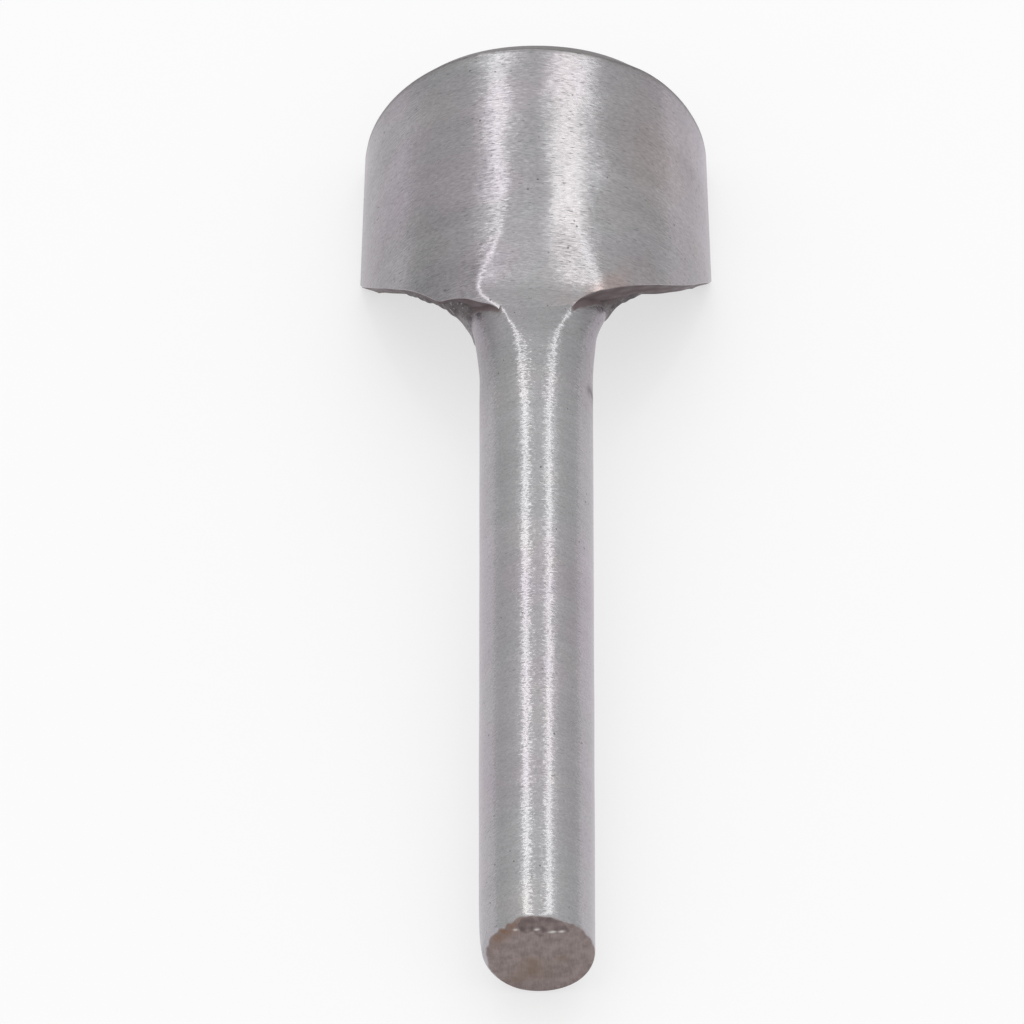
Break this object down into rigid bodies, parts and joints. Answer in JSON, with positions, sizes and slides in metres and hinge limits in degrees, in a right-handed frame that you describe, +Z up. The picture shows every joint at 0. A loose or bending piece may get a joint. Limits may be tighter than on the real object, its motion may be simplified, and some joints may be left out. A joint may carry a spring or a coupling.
{
  "type": "half round punch",
  "caption": "Steel half round punch with a bevelled half ring blade welded to a plain round striking shank, for cutting rounded strap ends in leather.",
  "frame": {"origin": "centre of the footprint of the tool as it lies on a bench with its hollow underneath, at bench height", "axes": "+Z up; +Y from the struck end to the cutting edge; +X to the right, seen from the struck end"},
  "size_m": [0.0392, 0.1312, 0.0205],
  "materials": {
    "blade_steel": "belt ground bare steel with fine scratches round the blade",
    "shank_steel": "bare steel bar, ground across its length, brown and chipped at the struck end",
    "weld_metal": "rough dark weld metal with heat tint"
  },
  "bodies": {
    "root": {"blade": "blade_steel", "shank": "shank_steel", "weld_left": "weld_metal", "weld_right": "weld_metal", "weld_tail": "weld_metal"}
  },
  "joints": []
}
